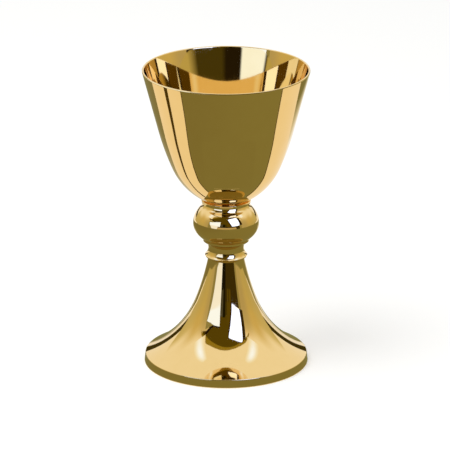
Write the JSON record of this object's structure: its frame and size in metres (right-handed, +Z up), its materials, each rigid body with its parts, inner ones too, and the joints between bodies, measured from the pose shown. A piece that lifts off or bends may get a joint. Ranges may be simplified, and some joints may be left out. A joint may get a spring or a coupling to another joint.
{
  "type": "chalice",
  "caption": "Footed cup with a plain flared bowl, a round knop on the stem and a trumpet foot, stacked on a central rod and clamped by a nut inside the foot.",
  "frame": {"origin": "on the table, on the vertical axis of the foot", "axes": "+Z up along the axis of revolution, from the foot to the rim"},
  "size_m": [0.1, 0.1, 0.1836],
  "materials": {
    "gilt": "gold plated, mirror polished",
    "gilt_inside": "gold plated, satin, as left by spinning",
    "raw_brass": "turned, unpolished",
    "zinc_steel": "zinc plated"
  },
  "bodies": {
    "cup_and_stem": {"bowl": "gilt", "bowl_boss": "raw_brass", "bowl_collar": "gilt", "knop_upper_half": "gilt", "knop_lower_half": "gilt", "knop_sleeve": "raw_brass", "neck_ring": "gilt", "foot": "gilt", "foot_ring": "gilt_inside", "tie_rod": "zinc_steel", "clamp_plate": "raw_brass"},
    "washers": {"plain_washer": "zinc_steel", "lock_washer": "zinc_steel"},
    "nut": {"hex_nut": "zinc_steel"}
  },
  "joints": [
    {"name": "washer_slide", "type": "slide", "parent": "cup_and_stem", "child": "washers", "axis": [0, 0, -1], "range_m": [0, 0.008]},
    {"name": "nut_turn", "type": "hinge", "parent": "washers", "child": "nut", "pos_m": [0, 0, 0.0567], "axis": [0, 0, -1], "range_deg": [0, 2880]}
  ],
  "couplings": [
    {"joint": "nut_turn", "follows": "washer_slide", "rad_per_m": 6283.2}
  ]
}
